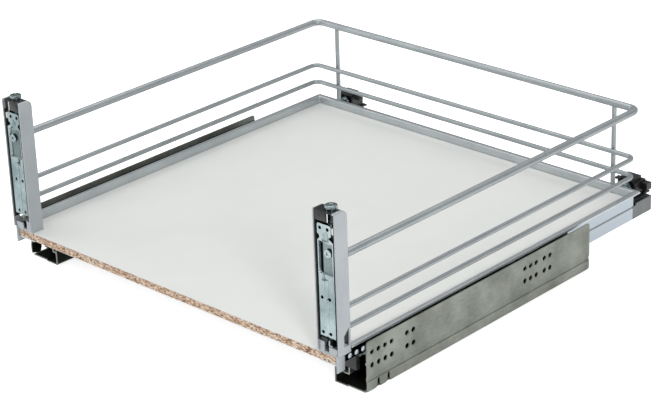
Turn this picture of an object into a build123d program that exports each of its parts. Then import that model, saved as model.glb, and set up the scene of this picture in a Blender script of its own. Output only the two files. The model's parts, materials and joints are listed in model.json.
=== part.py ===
"""Pull-out basket for a kitchen base cabinet.

A melamine-faced panel lies in a folded steel frame with a wire gallery round three sides.
Two front towers hold the plates that a drawer front is screwed to. Under each side a
telescopic runner hangs the basket in a steel rail that is screwed to the cabinet wall.

Frame: X to the right seen from the front, Y from front to back, Z up. The origin is the
middle of the bounding box, on the underside of the cabinet rails. Everything on the right
is drawn at +X, and its left-hand twin is its mirror image. Lengths are in millimetres.
"""
import os
from math import cos, pi, sin, sqrt

from build123d import *

os.makedirs("parts", exist_ok=True)

# ---------------------------------------------------------------- driving dimensions
cabinet_opening = 568.0  # between the outer faces of the two cabinet rails
deck_height = 52.0  # top of the panel above the underside of the rails
system_pitch = 32.0  # hole raster of cabinet walls
sheet = 1.5  # folded steel sheet
running_gap = 0.3  # rolling and sliding pieces stay this far from their tracks
bore_gap = 0.08  # radial play of a spindle or screw in its bore
travel = 400.0  # how far the basket pulls out

# panel
panel_inset = 19.0  # from the cabinet's side wall to the panel's edge
panel_depth = 540.0
panel_thickness = 10.0

# folded frame round the panel
panel_gap = 0.5  # panel edge to the frame's upright wall
frame_rise = 10.0  # top of the frame above the panel
frame_lip = 6.0  # top flange, outwards from the upright wall
frame_lip_return = 3.0  # down-turned rim of that flange
side_ledge = 27.0  # flange under the panel, along the sides
back_ledge = 15.0  # flange under the panel, along the back
fold_radius = 1.25  # centre line of a sheet fold
mitre_gap = 0.3  # slit between side and back rails at the corner

# wire gallery
top_rail_radius = 4.5
top_rail_height = 118.0  # centre above the panel
top_rail_bend = 11.0
wire_radius = 3.0
wire_heights = {"upper_wire": 56.5, "lower_wire": 32.0}  # centres above the panel
wire_bend = 10.0
post_radius = 3.0
post_inset = 32.0  # inwards from the panel's edge
weld_gap = 0.05  # where a wire is spot-welded to its neighbour

# towers
tower_width = 32.0
tower_depth = 20.0
tower_height = 168.0
tower_lead = 3.0  # tower front ahead of the panel edge
tower_overhang = 7.5  # tower outer face outside the panel edge
tower_corner = 8.0  # rounded rear top edge
foot_thickness = 3.0
foot_lug_depth = 12.0  # outer lug, measured along Y
foot_lug_drop = 12.0  # below the panel's top
notch_sill = 9.0  # notch at the foot of the outer wall, above the tower's lower end
notch_front_height = 22.0
notch_rear_height = 30.0
notch_inset = 9.0  # from the tower's front edge
liner_wall = 1.5
block_height = 11.5
wheel_radius = 7.0
wheel_thickness = 4.5
wheel_grooves = 26
spindle_radius = 2.5
spindle_setback = 10.5  # behind the tower's front
spindle_offset = 2.0  # outwards from the tower's middle
hub_radius = 5.4
slot_gap = 0.6  # roof slot to the hub

# plates that the drawer front is screwed to
fixing_thickness = 2.0
fixing_width = 22.5
fixing_bottom = 22.0  # all heights here are above the panel's top
fixing_top = 155.0
fixing_recess_from = 97.0
fixing_neck_from = 136.0
fixing_head_from = 142.0
fixing_hole_radius = 2.1
fixing_hole_spacing = 11.0
fixing_hole_shift = 1.7  # the pair's middle, inwards from the plate's middle
fixing_hole_heights = (26.5, 68.0, 150.0)
fixing_flange = 6.0
cam_height = 122.0
cam_offset = 3.0  # outwards from the plate's middle
cam_head_radius = 5.0

# rail screwed to the cabinet wall
rail_length = 400.0
rail_setback = 28.5  # behind the panel's front edge
rail_rise = 12.0  # its top above the panel's top
rail_floor_rise = 1.5  # outer part of the floor above the trough
rail_trough = 19.0  # width of the trough, from the inner wall
rail_width = 49.0
rail_inner_wall = 20.0
rail_hole_radius = 3.25
rail_hole_first = 37.0  # first hole behind the panel's front edge
rail_hole_drop = 2.0  # upper row below the panel's top
rail_rib_drop = 34.0  # middle of the pressed groove below the panel's top
rail_rib_depth = 2.0
rail_rib_height = 7.0
rail_tab_slots = (46.5, 63.0)  # notches in the bottom bend, behind the panel's front edge
rail_tab_gap = 3.0  # width of those notches
rail_corner = 3.0  # rounding of the wall plate's upper corners

# telescopic runner
runner_width = 27.0
runner_drop = 28.0  # its lower edge below the panel's top
runner_overrun = 1.0  # its rear end behind the panel
runner_lag = 2.0  # its front end behind the rail's front
cap_length = 5.0  # plastic cap in the front end of the drawer runner
middle_end_gap = 1.0  # middle runner to the rear bracket, basket pulled out
middle_flange = 12.5
middle_side_gap = 2.0  # lower track to the rail's inner wall
middle_top_drop = 22.5  # upper track below the panel's top
middle_bottom_drop = 41.5  # lower track below the panel's top
roller_width = 9.0
rollers_per_cage = 3
cage_thickness = 1.6
cage_end = 16.0  # cage beyond its last roller
lower_cage_start = 140.0  # behind the panel's front edge
upper_cage_start = 200.0
stop_length = 4.0

# rear brackets and adjusters
bracket_reach = 41.0  # behind the runner
tongue_length = 30.0  # of the bracket, forwards under the runner's top
bracket_rim_drop = 9.0  # its open rim below the panel's top
adjuster_width = 36.0
adjuster_depth = 30.0
adjuster_inset = 25.0  # its middle, inwards from the panel's edge
adjuster_overlap = 22.0  # how far the base plate reaches over the bracket
adjuster_wheel_radius = 7.0
adjuster_wheel_thickness = 6.0
adjuster_grooves = 20

# screws
screw_radius = 1.9
screw_head_radius = 3.4
screw_head_height = 1.8
panel_screw_bite = 7.0
end_screw_inset = 90.0  # first and last runner screw, from the panel's front and rear edge
back_screw_spacing = 150.0

# ---------------------------------------------------------------- derived places
panel_width = cabinet_opening - 2 * panel_inset
runner_length = panel_depth + runner_overrun
adjuster_setback = runner_length + bracket_reach - adjuster_overlap
overall_depth = tower_lead + adjuster_setback + adjuster_depth
front = tower_lead - overall_depth / 2  # Y of the panel's front edge
deck = deck_height
panel_rear = front + panel_depth
panel_half = panel_width / 2
post_offset = panel_half - post_inset
adjuster_middle = panel_half - adjuster_inset
runner_screw_rows = (end_screw_inset, panel_depth / 2, panel_depth - end_screw_inset)
back_screw_columns = (-back_screw_spacing, 0, back_screw_spacing)
wall_x = panel_half + panel_gap + sheet / 2  # centre line of the side walls
wall_y = panel_rear + panel_gap + sheet / 2  # centre line of the back wall
ledge_z = deck - panel_thickness - sheet / 2
lip_z = deck + frame_rise - sheet / 2
frame_top = deck + frame_rise

tower_outer = panel_half + tower_overhang
tower_inner = tower_outer - tower_width
tower_front = front - tower_lead
tower_back = tower_front + tower_depth
tower_base = deck + foot_thickness
tower_top = tower_base + tower_height
tower_x = (tower_outer + tower_inner) / 2
spindle_x = tower_x + spindle_offset
spindle_y = tower_front + spindle_setback
fixing_x = tower_x
fixing_front = tower_front + 1.0
fixing_back = fixing_front + fixing_thickness

gallery_x = tower_outer - top_rail_radius
gallery_y = wall_y + sheet / 2 + frame_lip / 2
wire_x = tower_outer - wire_radius - 0.5
wire_y = gallery_y - post_radius - wire_radius - weld_gap

rail_outer = cabinet_opening / 2
rail_inner = rail_outer - rail_width
rail_front = front + rail_setback
rail_rear = rail_front + rail_length

runner_outer = wall_x + sheet / 2
runner_inner = runner_outer - runner_width
runner_top = deck - panel_thickness - sheet
runner_bottom = deck - runner_drop
runner_front = rail_front + runner_lag
runner_rear = front + runner_length

upper_track = runner_top - sheet  # underside of the runner's top
middle_top = deck - middle_top_drop
middle_bottom = deck - middle_bottom_drop
trough_top = sheet
upper_roller_radius = (upper_track - middle_top) / 2 - running_gap
lower_roller_radius = (middle_bottom - trough_top) / 2 - running_gap
middle_web_x = rail_inner + sheet + middle_side_gap + middle_flange - sheet / 2
middle_rear = runner_rear - travel / 2 - middle_end_gap
middle_front = runner_front + cap_length + running_gap


def section(rear):
    """Upright plane at Y = rear, X to the right and Z up. Extrusion runs forwards."""
    return Plane(origin=(0, rear, 0), x_dir=(1, 0, 0), z_dir=(0, -1, 0))


def side_view(x):
    """Upright plane at X = x, local x along Y and local y along Z. Extrusion runs to +X."""
    return Plane(origin=(x, 0, 0), x_dir=(0, 1, 0), z_dir=(1, 0, 0))


def finish(piece, label):
    """Names a finished piece and writes its file."""
    piece.part.label = label
    export_step(piece.part, f"parts/{label}.step")


def to_side(side):
    """Turns the right-hand piece being built into its left-hand twin, where asked."""
    if side == "left":
        mirror(about=Plane.YZ, mode=Mode.REPLACE)


def block(x_range, y_range, z_range, mode=Mode.ADD):
    """Adds or cuts a box given by its limits."""
    size = [high - low for low, high in (x_range, y_range, z_range)]
    middle = [(high + low) / 2 for low, high in (x_range, y_range, z_range)]
    with Locations(tuple(middle)):
        Box(*size, mode=mode)


def cylinder_along_y(x, z, radius, y_front, y_rear, mode=Mode.ADD):
    with Locations((x, (y_front + y_rear) / 2, z)):
        Cylinder(radius, y_rear - y_front, rotation=(90, 0, 0), mode=mode)


def cylinder_along_z(x, y, radius, z_low, z_high, mode=Mode.ADD):
    with Locations((x, y, (z_low + z_high) / 2)):
        Cylinder(radius, z_high - z_low, mode=mode)


# ---------------------------------------------------------------- panel and frame
screw_x = runner_inner + sheet + screw_head_radius + 0.8  # screws through runner and ledge
foot_screws = [(tower_x - 8, tower_back - 6.5), (tower_x + 4, tower_back - 6.5)]
back_screw_y = panel_rear - back_ledge / 2

with BuildPart() as tray_panel:
    block((-panel_half, panel_half), (front, panel_rear), (deck - panel_thickness, deck))
    for sign in (-1, 1):
        for row in runner_screw_rows:
            cylinder_along_z(
                sign * screw_x, front + row, screw_radius + bore_gap,
                deck - panel_thickness, deck - panel_thickness + panel_screw_bite + 0.5,
                mode=Mode.SUBTRACT,
            )
        for x, y in foot_screws:
            cylinder_along_z(
                sign * x, y, screw_radius + bore_gap,
                deck - panel_screw_bite - 0.5, deck, mode=Mode.SUBTRACT,
            )
    for x in back_screw_columns:
        cylinder_along_z(
            x, back_screw_y, screw_radius + bore_gap,
            deck - panel_thickness, deck - panel_thickness + panel_screw_bite + 0.5,
            mode=Mode.SUBTRACT,
        )
finish(tray_panel, "tray_panel")


def frame_profile(wall, ledge, sign=1):
    """Centre line of the frame's folded strip: ledge, wall, lip and rim."""
    lip_end = wall + sign * (sheet / 2 + frame_lip - sheet / 2)
    ledge_end = wall - sign * (ledge - sheet / 2)
    FilletPolyline(
        (ledge_end, ledge_z),
        (wall, ledge_z),
        (wall, lip_z),
        (lip_end, lip_z),
        (lip_end, frame_top - frame_lip_return),
        radius=fold_radius,
    )


def make_side_rail(side):
    with BuildPart() as side_rail:
        rail_end = wall_y + frame_lip + sheet
        with BuildSketch(section(rail_end)):
            with BuildLine():
                frame_profile(wall_x, side_ledge)
            trace(line_width=sheet)
        extrude(amount=rail_end - front)
        # the upper part stops behind the tower
        block(
            (runner_inner - 5, rail_outer), (front - 1, tower_back + running_gap),
            (deck, frame_top + 1), mode=Mode.SUBTRACT,
        )
        split(
            bisect_by=Plane(
                origin=(panel_half, panel_rear - mitre_gap / 2, 0), z_dir=(1, -1, 0)
            ),
            keep=Keep.TOP,
        )
        for row in runner_screw_rows:
            cylinder_along_z(
                screw_x, front + row, screw_radius + bore_gap,
                ledge_z - sheet, ledge_z + sheet, mode=Mode.SUBTRACT,
            )
        to_side(side)
    finish(side_rail, f"side_rail_{side}")


with BuildPart() as back_rail:
    rail_half = wall_x + frame_lip + sheet
    with BuildSketch(side_view(-rail_half)):
        with BuildLine():
            frame_profile(wall_y, back_ledge)
        trace(line_width=sheet)
    extrude(amount=2 * rail_half)
    for sign in (-1, 1):
        split(
            bisect_by=Plane(
                origin=(sign * panel_half, panel_rear + mitre_gap / 2, 0),
                z_dir=(-sign, 1, 0),
            ),
            keep=Keep.TOP,
        )
    for x in back_screw_columns:
        cylinder_along_z(
            x, back_screw_y, screw_radius + bore_gap,
            ledge_z - sheet, ledge_z + sheet, mode=Mode.SUBTRACT,
        )
finish(back_rail, "back_rail")


# ---------------------------------------------------------------- wire gallery
def gallery_run(x, y, z, radius, bend):
    """One rod, from the right tower round the back to the left tower."""
    with BuildLine() as path:
        FilletPolyline(
            (x, tower_back, z), (x, y, z), (-x, y, z), (-x, tower_back, z), radius=bend
        )
    start = Plane(origin=(x, tower_back, z), x_dir=(1, 0, 0), z_dir=(0, 1, 0))
    with BuildSketch(start) as rod:
        Circle(radius)
    sweep(rod.sketch, path=path.line)


with BuildPart() as top_rail:
    gallery_run(gallery_x, gallery_y, deck + top_rail_height, top_rail_radius, top_rail_bend)
finish(top_rail, "top_rail")

for wire_name, wire_height in wire_heights.items():
    with BuildPart() as wire:
        gallery_run(wire_x, wire_y, deck + wire_height, wire_radius, wire_bend)
    finish(wire, wire_name)


def make_post(side):
    post_top = deck + top_rail_height
    with BuildPart() as back_post:
        cylinder_along_z(post_offset, gallery_y, post_radius, frame_top, post_top)
        with BuildSketch(side_view(post_offset - 2 * post_radius)):
            with Locations((gallery_y, post_top)):
                Circle(top_rail_radius + weld_gap)
        extrude(amount=4 * post_radius, mode=Mode.SUBTRACT)
        to_side(side)
    finish(back_post, f"back_post_{side}")


# ---------------------------------------------------------------- towers
def tower_side_profile(inset, low):
    """Side view of the tower, rounded at the rear top, shrunk by inset on three sides."""
    back, top = tower_back - inset, tower_top - inset
    Polyline((back, top - tower_corner + inset), (back, low), (tower_front, low),
             (tower_front, top), (back - tower_corner + inset, top))
    RadiusArc(
        (back - tower_corner + inset, top), (back, top - tower_corner + inset),
        tower_corner - inset,
    )


def make_tower_foot(side):
    lug_outer = runner_outer + 0.3 + sheet
    with BuildPart() as tower_foot:
        block((tower_inner, lug_outer), (front - 1, tower_back), (deck, tower_base))
        block(
            (runner_outer + 0.3, lug_outer), (tower_front, tower_front + foot_lug_depth),
            (deck - foot_lug_drop, tower_base),
        )
        # two tabs at the front close the tower's lower end
        block((tower_inner + 1.6, tower_x - 7), (front - 1, front + 0.5), (deck, deck + 13))
        block((tower_x, tower_outer - 3.2), (front - 1, front + 0.5), (deck, deck + 10))
        for x, y in foot_screws:
            cylinder_along_z(
                x, y, screw_radius + bore_gap, deck - 1, tower_base + 1, mode=Mode.SUBTRACT
            )
        to_side(side)
    finish(tower_foot, f"tower_foot_{side}")


def make_tower_housing(side):
    with BuildPart() as tower_housing:
        with BuildSketch(side_view(tower_inner)):
            with BuildLine():
                tower_side_profile(0, tower_base)
            make_face()
        extrude(amount=tower_width)
        upright = tower_housing.edges().filter_by(Axis.Z).group_by(Axis.Y)[-1]
        fillet(upright, radius=1.2)
        with BuildSketch(side_view(tower_inner + sheet)):
            with BuildLine():
                tower_side_profile(sheet, tower_base - 1)
            make_face()
        extrude(amount=tower_width - 2 * sheet, mode=Mode.SUBTRACT)
        # opening in the roof for the thumb wheel's hub
        cylinder_along_z(
            spindle_x, spindle_y, hub_radius + slot_gap, tower_top - 3.5 * sheet, tower_top + 1,
            mode=Mode.SUBTRACT,
        )
        # notch at the foot of the outer wall
        with BuildSketch(side_view(tower_outer - 2 * sheet)):
            with BuildLine():
                Polyline(
                    (tower_front + notch_inset, tower_base + notch_sill),
                    (tower_back - 2 * sheet, tower_base + notch_sill),
                    (tower_back - 2 * sheet, tower_base + notch_rear_height),
                    (tower_front + notch_inset, tower_base + notch_front_height),
                    close=True,
                )
            make_face()
        extrude(amount=3 * sheet, mode=Mode.SUBTRACT)
        to_side(side)
    finish(tower_housing, f"tower_housing_{side}")


block_top = tower_top - sheet
block_bottom = block_top - block_height


def make_tower_liner(side):
    liner_outer = tower_outer - sheet
    liner_inner = tower_inner + sheet
    liner_back = tower_back - sheet
    with BuildPart() as tower_liner:
        block((liner_inner, liner_outer), (front, liner_back), (tower_base, block_bottom))
        block(
            (liner_inner + liner_wall, liner_outer - liner_wall),
            (front - 1, liner_back - liner_wall), (tower_base - 1, block_bottom + 1),
            mode=Mode.SUBTRACT,
        )
        # the liner stays clear of the foot's tabs and the notch in the housing
        block((liner_inner - 1, liner_outer + 1), (front - 1, front + 1),
              (tower_base - 1, deck + 14), mode=Mode.SUBTRACT)
        to_side(side)
    finish(tower_liner, f"tower_liner_{side}")


def make_tower_block(side):
    with BuildPart() as tower_block:
        block(
            (tower_inner + sheet, tower_outer - sheet), (front, tower_back - sheet),
            (block_bottom, block_top),
        )
        rear_top = tower_block.edges().filter_by(Axis.X).group_by(Axis.Y)[-1].sort_by(Axis.Z)[-1]
        fillet(rear_top, radius=tower_corner - sheet)
        cylinder_along_z(
            spindle_x, spindle_y, spindle_radius + bore_gap, block_bottom - 1, block_top + 1,
            mode=Mode.SUBTRACT,
        )
        to_side(side)
    finish(tower_block, f"tower_block_{side}")


collar_height = 3.0
nut_tab_height = 5.0
nut_tab_top = deck + fixing_neck_from + 1.0


def make_thumb_wheel(side):
    wheel_low = tower_top + running_gap
    with BuildPart() as thumb_wheel:
        cylinder_along_z(
            spindle_x, spindle_y, wheel_radius, wheel_low, wheel_low + wheel_thickness
        )
        chamfer(thumb_wheel.edges().filter_by(GeomType.CIRCLE), length=0.5)
        with BuildSketch(Plane.XY.offset(wheel_low)):
            with Locations((spindle_x, spindle_y)):
                with PolarLocations(wheel_radius + 0.1, wheel_grooves):
                    Circle(0.42)
        extrude(amount=wheel_thickness, mode=Mode.SUBTRACT)
        # hub, spindle and the collar that keeps it in the block
        cylinder_along_z(spindle_x, spindle_y, hub_radius, block_top + running_gap, wheel_low)
        cylinder_along_z(
            spindle_x, spindle_y, spindle_radius, nut_tab_top - nut_tab_height - 3, wheel_low
        )
        cylinder_along_z(
            spindle_x, spindle_y, spindle_radius + 1.4,
            block_bottom - running_gap - collar_height, block_bottom - running_gap,
        )
        to_side(side)
    finish(thumb_wheel, f"thumb_wheel_{side}")


# ---------------------------------------------------------------- drawer front fixing
cam_x = fixing_x + cam_offset
recess_floor = fixing_front + 1.2


def make_fixing_plate(side):
    left, right = fixing_x - fixing_width / 2, fixing_x + fixing_width / 2
    hole_middle = fixing_x - fixing_hole_shift
    with BuildPart() as fixing_plate:
        with BuildSketch(section(fixing_back)):
            with BuildLine():
                Polyline(
                    (left, deck + fixing_bottom),
                    (right, deck + fixing_bottom),
                    (right, deck + fixing_neck_from),
                    (right - 5.5, deck + fixing_neck_from + 3),
                    (right - 5.5, deck + fixing_head_from - 1),
                    (right - 2.5, deck + fixing_head_from + 1),
                    (right - 2.5, deck + fixing_top),
                    (left, deck + fixing_top),
                    (left, deck + fixing_head_from + 1),
                    (left + 3, deck + fixing_head_from - 1),
                    (left + 3, deck + fixing_neck_from + 2),
                    (left, deck + fixing_neck_from - 1),
                    close=True,
                )
            make_face()
        extrude(amount=fixing_thickness)
        corners = fixing_plate.edges().filter_by(Axis.Y)
        fillet(corners.group_by(Axis.Z)[-1], radius=2.5)
        # side flanges
        for low, high in ((left, left + sheet), (right - sheet, right)):
            block((low, high), (fixing_back, fixing_back + fixing_flange),
                  (deck + fixing_bottom + 2, deck + fixing_neck_from))
        # sunk middle field, with a sloped lower edge
        with BuildSketch(section(recess_floor)):
            with BuildLine():
                Polyline(
                    (left + 2, deck + fixing_recess_from),
                    (right - 2, deck + fixing_recess_from - 2),
                    (right - 2, deck + fixing_neck_from - 1),
                    (left + 2, deck + fixing_neck_from - 1),
                    close=True,
                )
            make_face()
        extrude(amount=2, mode=Mode.SUBTRACT)
        # pressed rib and cross bar
        block((fixing_x - 1, fixing_x + 1.2), (fixing_front - 0.8, fixing_front),
              (deck + fixing_bottom + 8, deck + fixing_recess_from - 8))
        block((left + 1, right - 1), (fixing_front - 0.8, fixing_front),
              (deck + fixing_recess_from - 8, deck + fixing_recess_from - 3.5))
        with BuildSketch(section(fixing_back + 1)):
            for height in fixing_hole_heights:
                for sign in (-1, 1):
                    with Locations((hole_middle + sign * fixing_hole_spacing / 2, deck + height)):
                        Circle(fixing_hole_radius)
        extrude(amount=fixing_thickness + 3, mode=Mode.SUBTRACT)
        cylinder_along_y(cam_x, deck + cam_height, screw_radius + bore_gap,
                         fixing_front - 1, fixing_back + 1, mode=Mode.SUBTRACT)
        # nut tab that rides on the spindle's thread
        block((spindle_x - 6, spindle_x + 6), (fixing_back, spindle_y + spindle_radius + 2),
              (nut_tab_top - nut_tab_height, nut_tab_top))
        cylinder_along_z(
            spindle_x, spindle_y, spindle_radius + bore_gap,
            nut_tab_top - nut_tab_height - 1, nut_tab_top + 1, mode=Mode.SUBTRACT,
        )
        to_side(side)
    finish(fixing_plate, f"fixing_plate_{side}")


def make_cam_screw(side):
    head_front = recess_floor - 1.5
    with BuildPart() as cam_screw:
        cylinder_along_y(cam_x, deck + cam_height, cam_head_radius, head_front, recess_floor)
        front_rim = cam_screw.edges().filter_by(GeomType.CIRCLE).sort_by(Axis.Y)[0]
        chamfer(front_rim, length=0.5)
        cylinder_along_y(cam_x, deck + cam_height, screw_radius, recess_floor, fixing_back + 6)
        for turn in (45, 135):
            with BuildSketch(section(head_front + 0.9)):
                with Locations((cam_x, deck + cam_height)):
                    Rectangle(6, 1.1, rotation=turn)
            extrude(amount=2, mode=Mode.SUBTRACT)
        to_side(side)
    finish(cam_screw, f"cam_screw_{side}")


spring_wire_radius = 0.45
spring_mean_radius = 1.7
spring_turns = 8
spring_length = 13.0
spring_low = block_bottom - spring_length
spring_x = tower_outer - sheet - liner_wall - spring_mean_radius - spring_wire_radius - 0.2
spring_y = fixing_back + 3.0


def make_return_spring(side):
    height = spring_length - 2 * spring_wire_radius
    with BuildPart() as return_spring:
        with BuildLine():
            coil = Helix(
                pitch=height / spring_turns, height=height, radius=spring_mean_radius,
                center=(spring_x, spring_y, spring_low + spring_wire_radius),
            )
        with BuildSketch(Plane(origin=coil @ 0, z_dir=coil % 0)):
            Circle(spring_wire_radius)
        sweep()
        to_side(side)
    gap = height / spring_turns - 2 * spring_wire_radius
    print(f"return_spring_{side}: least gap between coils {gap:.2f} mm")
    finish(return_spring, f"return_spring_{side}")


def make_catch_hook(side):
    hook_top = deck + fixing_bottom - 3.0
    with BuildPart() as catch_hook:
        with BuildSketch(section(front + 7)):
            with BuildLine():
                FilletPolyline(
                    (fixing_x - 7, hook_top - 4),
                    (fixing_x - 7, hook_top - 1),
                    (fixing_x - 2.5, hook_top - 1),
                    (fixing_x - 2.5, hook_top - 10),
                    (fixing_x + 4, hook_top - 10),
                    (fixing_x + 4, tower_base),
                    radius=1.6,
                )
            trace(line_width=2.0)
        extrude(amount=5)
        to_side(side)
    finish(catch_hook, f"catch_hook_{side}")


# ---------------------------------------------------------------- cabinet rail
def make_cabinet_rail(side):
    plate_x = rail_outer - sheet / 2
    top = deck + rail_rise
    rib = deck - rail_rib_drop
    floor_z = rail_floor_rise + sheet / 2
    step_x = rail_inner + rail_trough
    with BuildPart() as cabinet_rail:
        with BuildSketch(section(rail_rear)):
            with BuildLine():
                FilletPolyline(
                    (plate_x, top),
                    (plate_x, rib + rail_rib_height / 2),
                    (plate_x - rail_rib_depth, rib),
                    (plate_x, rib - rail_rib_height / 2),
                    (plate_x, floor_z),
                    (step_x + 3, floor_z),
                    (step_x, sheet / 2),
                    (rail_inner + sheet / 2, sheet / 2),
                    (rail_inner + sheet / 2, rail_inner_wall),
                    radius=(1, 1, 1, 3, 1.5, 1.5, fold_radius),
                )
            trace(line_width=sheet)
        extrude(amount=rail_length)
        corners = cabinet_rail.edges().filter_by(Axis.X).filter_by_position(
            Axis.Z, top - 0.1, top + 0.1
        )
        fillet(corners, radius=rail_corner)
        with BuildSketch(side_view(rail_outer + 1)):
            with Locations(*rail_holes()):
                Circle(rail_hole_radius)
        extrude(amount=-2 - sheet, mode=Mode.SUBTRACT)
        for slot in rail_tab_slots:
            with BuildSketch(side_view(rail_outer - 6)):
                with Locations((front + slot, floor_z + 3)):
                    SlotOverall(20, rail_tab_gap, rotation=90)
            extrude(amount=8, mode=Mode.SUBTRACT)
        to_side(side)
    finish(cabinet_rail, f"cabinet_rail_{side}")


def rail_holes():
    """Screw holes of the wall plate: two rows, in groups that match the 32 mm raster."""
    third = system_pitch / 3
    first = front + rail_hole_first
    columns = [first + i * third for i in range(4)]
    columns += [first + 5.4 * third + i * third for i in range(2)]
    columns += [first + 9 * system_pitch + i * third for i in (-2, -1, 0)]
    columns += [first + 9 * system_pitch + 15.4 + i * third for i in range(2)]
    rows = (deck - rail_hole_drop, deck - rail_hole_drop - system_pitch / 2)
    return [(y, z) for y in columns for z in rows]


def make_rail_stop(side):
    with BuildPart() as rail_stop:
        block(
            (rail_inner + 2 * sheet, rail_inner + rail_trough - sheet),
            (middle_rear + running_gap, middle_rear + running_gap + stop_length),
            (trough_top, rail_inner_wall - sheet),
        )
        to_side(side)
    finish(rail_stop, f"rail_stop_{side}")


# ---------------------------------------------------------------- telescopic runner
cap_half = runner_width / 2 - sheet


def make_drawer_runner(side):
    with BuildPart() as drawer_runner:
        with BuildSketch(section(runner_rear)):
            with BuildLine():
                FilletPolyline(
                    (runner_inner + sheet / 2, runner_bottom),
                    (runner_inner + sheet / 2, runner_top - sheet / 2),
                    (runner_outer - sheet / 2, runner_top - sheet / 2),
                    (runner_outer - sheet / 2, runner_bottom),
                    radius=fold_radius,
                )
            trace(line_width=sheet)
        extrude(amount=runner_rear - runner_front)
        for row in runner_screw_rows:
            cylinder_along_z(
                screw_x, front + row, screw_radius + bore_gap,
                runner_top - 2 * sheet, runner_top + 1, mode=Mode.SUBTRACT,
            )
        to_side(side)
    finish(drawer_runner, f"drawer_runner_{side}")


def make_runner_cap(side):
    cap_low = (runner_inner + runner_outer) / 2 - cap_half
    cap_high = cap_low + 2 * cap_half
    with BuildPart() as runner_cap:
        block((cap_low, cap_high), (runner_front, runner_front + cap_length),
              (runner_bottom, upper_track))
        lower = runner_cap.edges().filter_by(Axis.Y).group_by(Axis.Z)[0]
        fillet(lower, radius=cap_half - 1.5)
        upper = runner_cap.edges().filter_by(Axis.Y).group_by(Axis.Z)[-1]
        fillet(upper, radius=fold_radius)
        to_side(side)
    finish(runner_cap, f"runner_cap_{side}")


def make_middle_runner(side):
    with BuildPart() as middle_runner:
        with BuildSketch(section(middle_rear)):
            with BuildLine():
                FilletPolyline(
                    (middle_web_x + middle_flange - sheet / 2, middle_top - sheet / 2),
                    (middle_web_x, middle_top - sheet / 2),
                    (middle_web_x, middle_bottom + sheet / 2),
                    (middle_web_x - middle_flange + sheet / 2, middle_bottom + sheet / 2),
                    radius=fold_radius,
                )
            trace(line_width=sheet)
        extrude(amount=middle_rear - middle_front)
        to_side(side)
    finish(middle_runner, f"middle_runner_{side}")


upper_roller_x = middle_web_x + sheet + roller_width / 2
lower_roller_x = middle_web_x - sheet - roller_width / 2


def roller_rows(start):
    return [front + start + cage_end + i * system_pitch for i in range(rollers_per_cage)]


def make_cage(side, name, start, x, z, radius):
    """A plastic strip with a window for each roller, and the rollers in it."""
    rows = roller_rows(start)
    strip_half = roller_width / 2 + 1.6
    with BuildPart() as cage:
        block(
            (x - strip_half, x + strip_half), (rows[0] - cage_end, rows[-1] + cage_end),
            (z - cage_thickness / 2, z + cage_thickness / 2),
        )
        for row in rows:
            block(
                (x - roller_width / 2 - running_gap, x + roller_width / 2 + running_gap),
                (row - radius - running_gap, row + radius + running_gap),
                (z - cage_thickness, z + cage_thickness), mode=Mode.SUBTRACT,
            )
        to_side(side)
    finish(cage, f"{name}_cage_{side}")
    with BuildPart() as rollers:
        with BuildSketch(side_view(x - roller_width / 2)):
            for row in rows:
                with Locations((row, z)):
                    Circle(radius)
        extrude(amount=roller_width)
        to_side(side)
    finish(rollers, f"{name}_rollers_{side}")


def make_cages(side):
    make_cage(
        side, "upper", upper_cage_start, upper_roller_x,
        (upper_track + middle_top) / 2, upper_roller_radius,
    )
    make_cage(
        side, "lower", lower_cage_start, lower_roller_x,
        (middle_bottom + trough_top) / 2, lower_roller_radius,
    )


# ---------------------------------------------------------------- rear brackets
bracket_rear = runner_rear + bracket_reach
bracket_rim = deck - bracket_rim_drop
bracket_front_top = runner_top  # it passes under the back rail
adjuster_front = front + adjuster_setback
adjuster_rear = adjuster_front + adjuster_depth
adjuster_low = adjuster_middle - adjuster_width / 2
adjuster_high = adjuster_middle + adjuster_width / 2
adjuster_base_top = bracket_rim + 2.0


def make_rear_bracket(side):
    rise_from = wall_y + frame_lip + sheet
    with BuildPart() as rear_bracket:
        block((runner_inner, runner_outer), (runner_rear, bracket_rear),
              (runner_bottom, bracket_front_top))
        block((runner_inner, runner_outer), (rise_from, bracket_rear),
              (bracket_front_top, bracket_rim))
        corners = rear_bracket.edges().filter_by(Axis.Z).group_by(Axis.Y)[-1]
        fillet(corners, radius=2.0)
        block((runner_inner + sheet, runner_outer - sheet),
              (runner_rear - 1, bracket_rear - sheet),
              (runner_bottom + sheet, bracket_rim + 1), mode=Mode.SUBTRACT)
        # tongue under the runner's top
        block((runner_inner + sheet + 0.6, runner_inner + sheet + 8),
              (runner_rear - tongue_length, bracket_rear - sheet),
              (upper_track - sheet, upper_track))
        to_side(side)
    finish(rear_bracket, f"rear_bracket_{side}")


wheel_y_rear = adjuster_front + 4.0 + adjuster_wheel_thickness
wheel_z = adjuster_base_top + adjuster_wheel_radius + running_gap
housing_front = wheel_y_rear + running_gap


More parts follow.
